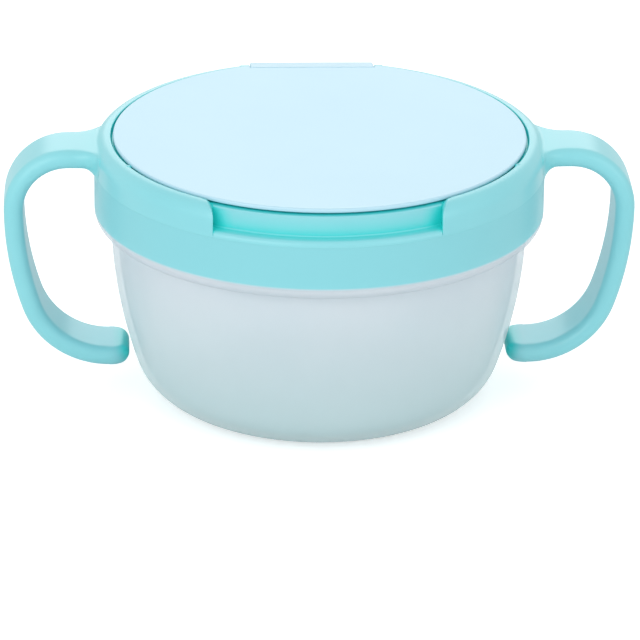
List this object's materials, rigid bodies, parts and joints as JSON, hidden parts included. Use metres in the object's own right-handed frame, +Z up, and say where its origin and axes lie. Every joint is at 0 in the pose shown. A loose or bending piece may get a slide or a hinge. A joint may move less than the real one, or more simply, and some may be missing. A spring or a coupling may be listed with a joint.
{
  "type": "toddler snack container",
  "caption": "Toddler snack container with a frosted bowl, a turquoise collar with two handles, a hinged lid and a soft slit insert.",
  "frame": {"origin": "middle of the bowl's foot ring, on the table", "axes": "+Z up, the thumb notch faces -Y, the lid's hinge is at +Y, the handles stand out along X"},
  "size_m": [0.1626, 0.116, 0.0708],
  "materials": {
    "frosted_plastic": "satin",
    "aqua_plastic": "gloss",
    "pale_lid_plastic": "satin",
    "soft_insert_rubber": "matte",
    "white_pin_plastic": "satin"
  },
  "bodies": {
    "bowl_body": {"bowl": "frosted_plastic"},
    "ring_body": {"handle_ring": "aqua_plastic", "flap_rim": "soft_insert_rubber", "hinge_pin": "white_pin_plastic"},
    "lid_body": {"lid": "pale_lid_plastic"},
    "flap_1_body": {"flap_1": "soft_insert_rubber"},
    "flap_2_body": {"flap_2": "soft_insert_rubber"},
    "flap_3_body": {"flap_3": "soft_insert_rubber"},
    "flap_4_body": {"flap_4": "soft_insert_rubber"},
    "flap_5_body": {"flap_5": "soft_insert_rubber"},
    "flap_6_body": {"flap_6": "soft_insert_rubber"},
    "flap_7_body": {"flap_7": "soft_insert_rubber"},
    "flap_8_body": {"flap_8": "soft_insert_rubber"}
  },
  "joints": [
    {"name": "ring_turn", "type": "hinge", "parent": "bowl_body", "child": "ring_body", "pos_m": [0, 0, 0.0565], "axis": [0, 0, 1], "continuous": true},
    {"name": "lid_hinge", "type": "hinge", "parent": "ring_body", "child": "lid_body", "pos_m": [0, 0.0555, 0.0671], "axis": [-1, 0, 0], "range_deg": [0, 150]},
    {"name": "flap_1_bend", "type": "hinge", "parent": "ring_body", "child": "flap_1_body", "pos_m": [0.04315, 0, 0.061], "axis": [0, -1, 0], "range_deg": [0, 70], "stiffness_Nm_per_rad": 0.006, "springref_deg": -5.73},
    {"name": "flap_2_bend", "type": "hinge", "parent": "ring_body", "child": "flap_2_body", "pos_m": [0.03051, 0.03051, 0.061], "axis": [0.7071, -0.7071, 0], "range_deg": [0, 70], "stiffness_Nm_per_rad": 0.006, "springref_deg": -5.73},
    {"name": "flap_3_bend", "type": "hinge", "parent": "ring_body", "child": "flap_3_body", "pos_m": [0, 0.04315, 0.061], "axis": [1, 0, 0], "range_deg": [0, 70], "stiffness_Nm_per_rad": 0.006, "springref_deg": -5.73},
    {"name": "flap_4_bend", "type": "hinge", "parent": "ring_body", "child": "flap_4_body", "pos_m": [-0.03051, 0.03051, 0.061], "axis": [0.7071, 0.7071, 0], "range_deg": [0, 70], "stiffness_Nm_per_rad": 0.006, "springref_deg": -5.73},
    {"name": "flap_5_bend", "type": "hinge", "parent": "ring_body", "child": "flap_5_body", "pos_m": [-0.04315, 0, 0.061], "axis": [0, 1, 0], "range_deg": [0, 70], "stiffness_Nm_per_rad": 0.006, "springref_deg": -5.73},
    {"name": "flap_6_bend", "type": "hinge", "parent": "ring_body", "child": "flap_6_body", "pos_m": [-0.03051, -0.03051, 0.061], "axis": [-0.7071, 0.7071, 0], "range_deg": [0, 70], "stiffness_Nm_per_rad": 0.006, "springref_deg": -5.73},
    {"name": "flap_7_bend", "type": "hinge", "parent": "ring_body", "child": "flap_7_body", "pos_m": [0, -0.04315, 0.061], "axis": [-1, 0, 0], "range_deg": [0, 70], "stiffness_Nm_per_rad": 0.006, "springref_deg": -5.73},
    {"name": "flap_8_bend", "type": "hinge", "parent": "ring_body", "child": "flap_8_body", "pos_m": [0.03051, -0.03051, 0.061], "axis": [-0.7071, -0.7071, 0], "range_deg": [0, 70], "stiffness_Nm_per_rad": 0.006, "springref_deg": -5.73}
  ]
}
